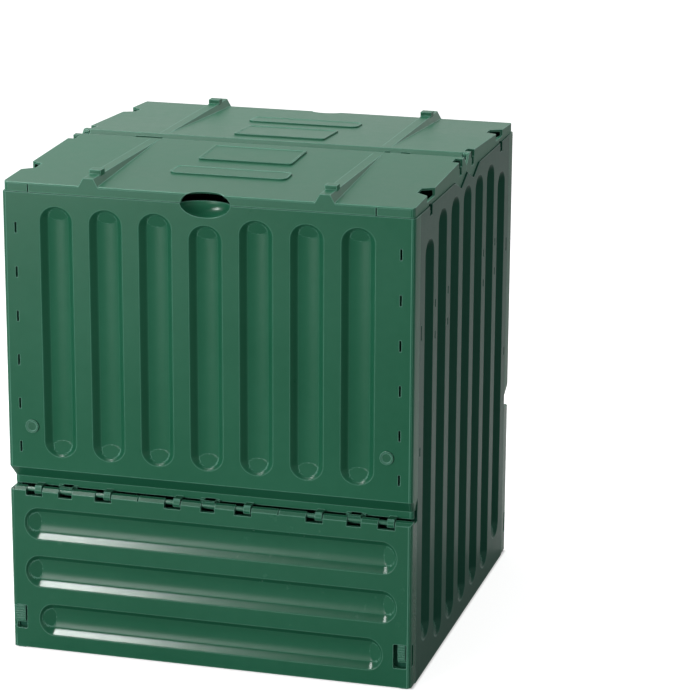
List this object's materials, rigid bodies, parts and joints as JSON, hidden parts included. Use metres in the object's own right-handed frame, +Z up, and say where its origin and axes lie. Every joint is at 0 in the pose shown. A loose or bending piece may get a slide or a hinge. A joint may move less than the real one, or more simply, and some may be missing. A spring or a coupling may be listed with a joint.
{
  "type": "compost bin with lid",
  "caption": "Square plastic compost bin with fluted walls, a split hinged lid with a valley in the middle, and latched emptying flaps at the bottom.",
  "frame": {"origin": "centre of the footprint, on the ground", "axes": "+Z up, -Y out of the front wall, +X to the right seen from the front"},
  "size_m": [0.7, 0.7236, 0.836],
  "materials": {
    "wall_plastic": "dark green moulded plastic with a soft sheen",
    "side_plastic": "dark green moulded plastic with a soft sheen",
    "flap_plastic": "dark green moulded plastic with a soft sheen",
    "lid_plastic": "dark green moulded plastic, finely grained, a little paler",
    "latch_plastic": "dark green moulded plastic",
    "peg_plastic": "dark green moulded plastic"
  },
  "bodies": {
    "shell": {"front_wall": "wall_plastic", "rear_wall": "wall_plastic", "right_wall": "side_plastic", "left_wall": "side_plastic", "front_peg_left": "peg_plastic", "front_peg_right": "peg_plastic", "rear_peg_left": "peg_plastic", "rear_peg_right": "peg_plastic"},
    "lid_front": {"front_lid": "lid_plastic"},
    "lid_rear": {"rear_lid": "lid_plastic"},
    "flap_front": {"front_flap": "flap_plastic"},
    "flap_rear": {"rear_flap": "flap_plastic"},
    "latch_front_left": {"front_latch_left": "latch_plastic"},
    "latch_front_right": {"front_latch_right": "latch_plastic"},
    "latch_rear_left": {"rear_latch_left": "latch_plastic"},
    "latch_rear_right": {"rear_latch_right": "latch_plastic"}
  },
  "joints": [
    {"name": "front_lid_hinge", "type": "hinge", "parent": "shell", "child": "lid_front", "pos_m": [0, -0.02, 0.824], "axis": [-1, 0, 0], "range_deg": [0, 91]},
    {"name": "rear_lid_hinge", "type": "hinge", "parent": "shell", "child": "lid_rear", "pos_m": [0, 0.02, 0.824], "axis": [1, 0, 0], "range_deg": [0, 91]},
    {"name": "front_flap_hinge", "type": "hinge", "parent": "shell", "child": "flap_front", "pos_m": [0, -0.35, 0.286], "axis": [-1, 0, 0], "range_deg": [0, 100]},
    {"name": "rear_flap_hinge", "type": "hinge", "parent": "shell", "child": "flap_rear", "pos_m": [0, 0.35, 0.286], "axis": [1, 0, 0], "range_deg": [0, 100]},
    {"name": "front_latch_left_slide", "type": "slide", "parent": "flap_front", "child": "latch_front_left", "axis": [0, 0, 1], "range_m": [-0.009, 0]},
    {"name": "front_latch_right_slide", "type": "slide", "parent": "flap_front", "child": "latch_front_right", "axis": [0, 0, 1], "range_m": [-0.009, 0]},
    {"name": "rear_latch_left_slide", "type": "slide", "parent": "flap_rear", "child": "latch_rear_left", "axis": [0, 0, 1], "range_m": [-0.009, 0]},
    {"name": "rear_latch_right_slide", "type": "slide", "parent": "flap_rear", "child": "latch_rear_right", "axis": [0, 0, 1], "range_m": [-0.009, 0]}
  ]
}
